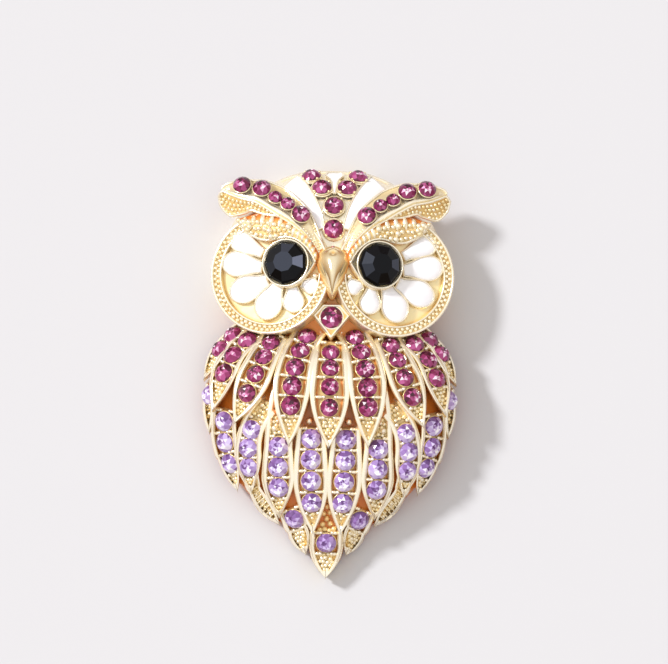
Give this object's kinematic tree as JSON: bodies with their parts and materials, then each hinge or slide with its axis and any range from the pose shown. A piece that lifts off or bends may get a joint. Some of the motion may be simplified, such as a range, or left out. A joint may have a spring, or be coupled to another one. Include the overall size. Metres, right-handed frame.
{
  "type": "owl brooch",
  "caption": "Owl-shaped gilt costume brooch with layered feathers, white enamel round black eye stones, and fuchsia and lilac cut stones.",
  "frame": {"origin": "middle of the brooch's outline, on the plane of the casting's back rim that it lies on", "axes": "+X to the right as the owl is seen from the front, +Y towards its crown, +Z out of its chest"},
  "size_m": [0.0316, 0.0508, 0.0114],
  "materials": {
    "gilt": "polished pale gilt",
    "enamel": "glossy white enamel",
    "fuchsia_glass": "faceted, foil backed",
    "lilac_glass": "faceted, foil backed",
    "jet_glass": "faceted, opaque black",
    "pin_steel": "plain"
  },
  "bodies": {
    "root": {"owl_casting": "gilt", "pin_finding": "pin_steel", "petal_left_1": "enamel", "petal_left_2": "enamel", "petal_left_3": "enamel", "petal_left_4": "enamel", "petal_left_5": "enamel", "petal_left_6": "enamel", "petal_right_1": "enamel", "petal_right_2": "enamel", "petal_right_3": "enamel", "petal_right_4": "enamel", "petal_right_5": "enamel", "petal_right_6": "enamel", "forehead_band_left": "enamel", "forehead_band_right": "enamel", "crown_patch": "enamel", "eye_stone_left": "jet_glass", "eye_stone_right": "jet_glass", "chin_stone": "fuchsia_glass", "crest_stone_1": "fuchsia_glass", "crest_stone_2": "fuchsia_glass", "crest_stone_3": "fuchsia_glass", "crest_stone_4": "fuchsia_glass", "crest_stone_5": "fuchsia_glass", "crest_stone_6": "fuchsia_glass", "brow_stone_left_1": "fuchsia_glass", "brow_stone_left_2": "fuchsia_glass", "brow_stone_left_3": "fuchsia_glass", "brow_stone_left_4": "fuchsia_glass", "brow_stone_left_5": "fuchsia_glass", "brow_stone_right_1": "fuchsia_glass", "brow_stone_right_2": "fuchsia_glass", "brow_stone_right_3": "fuchsia_glass", "brow_stone_right_4": "fuchsia_glass", "brow_stone_right_5": "fuchsia_glass", "breast_stones": "fuchsia_glass", "tail_stones": "lilac_glass"}
  },
  "joints": []
}
